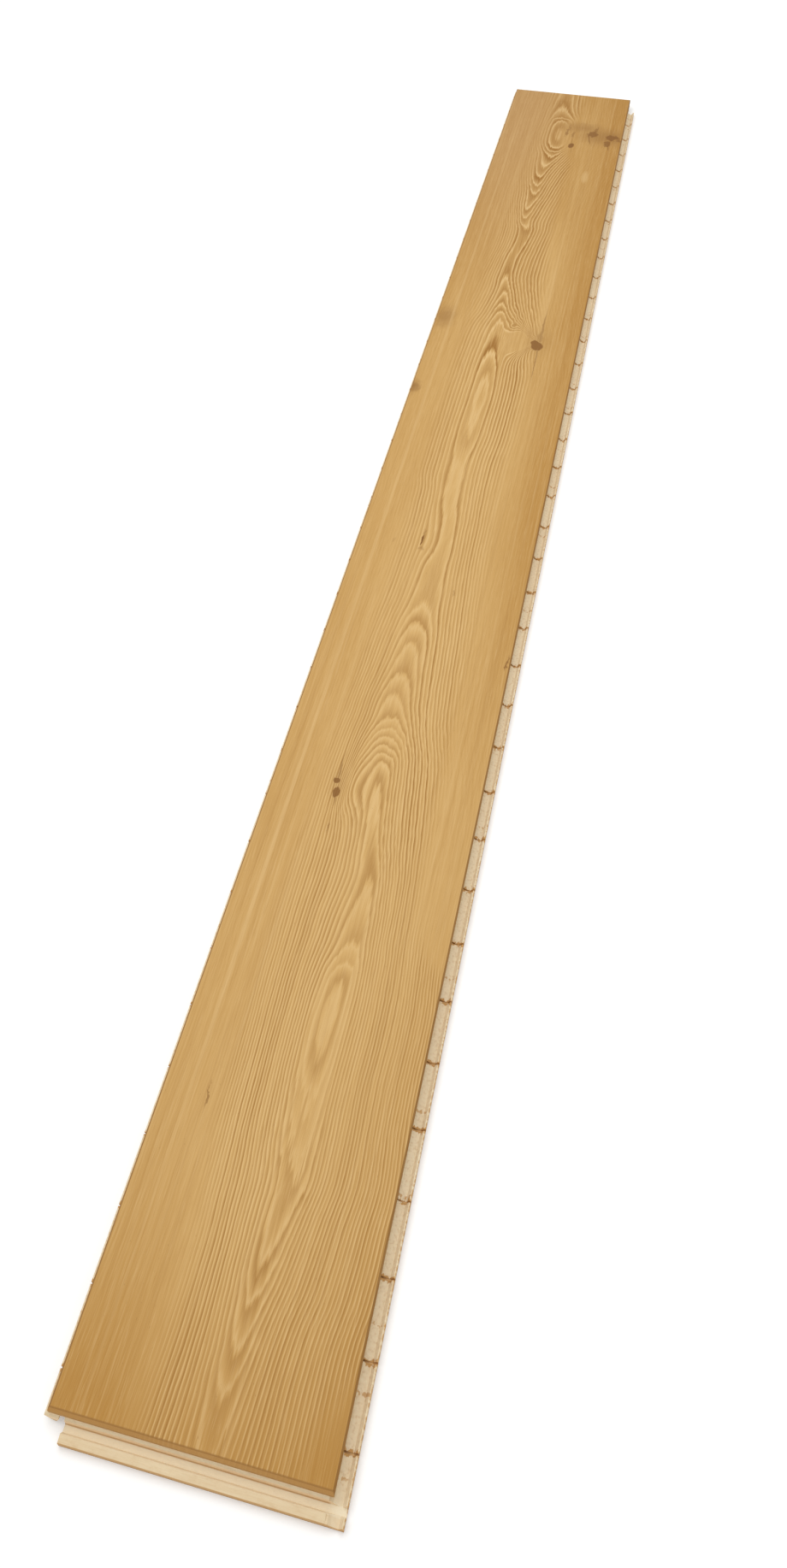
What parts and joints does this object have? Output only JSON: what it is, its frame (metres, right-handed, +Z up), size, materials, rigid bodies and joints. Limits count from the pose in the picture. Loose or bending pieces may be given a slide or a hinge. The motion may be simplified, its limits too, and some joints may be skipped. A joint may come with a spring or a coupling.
{
  "type": "wide plank floorboard",
  "caption": "Wide three-layer softwood floorboard with bevelled face, cross-laid slatted core, tongue and locking slot on one side, hooked locking lips on the other side and front end.",
  "frame": {"origin": "middle of the board's bounding box, on its underside", "axes": "+Y along the length towards the undercut back end, +X across the board towards the side lip, +Z up through the walking face"},
  "size_m": [0.1914, 1.813, 0.014],
  "materials": {
    "lamella": "honey stained, matt oiled softwood with knots",
    "core": "bare planed softwood slats",
    "backing": "bare sliced softwood veneer"
  },
  "bodies": {
    "root": {"backing_veneer": "backing", "core_slat_01": "core", "core_slat_02": "core", "core_slat_03": "core", "core_slat_04": "core", "core_slat_05": "core", "core_slat_06": "core", "core_slat_07": "core", "core_slat_08": "core", "core_slat_09": "core", "core_slat_10": "core", "core_slat_11": "core", "core_slat_12": "core", "core_slat_13": "core", "core_slat_14": "core", "core_slat_15": "core", "core_slat_16": "core", "core_slat_17": "core", "core_slat_18": "core", "core_slat_19": "core", "core_slat_20": "core", "core_slat_21": "core", "core_slat_22": "core", "core_slat_23": "core", "core_slat_24": "core", "core_slat_25": "core", "core_slat_26": "core", "core_slat_27": "core", "core_slat_28": "core", "core_slat_29": "core", "core_slat_30": "core", "core_slat_31": "core", "core_slat_32": "core", "core_slat_33": "core", "core_slat_34": "core", "core_slat_35": "core", "core_slat_36": "core", "core_slat_37": "core", "core_slat_38": "core", "core_slat_39": "core", "wear_lamella": "lamella"}
  },
  "joints": []
}
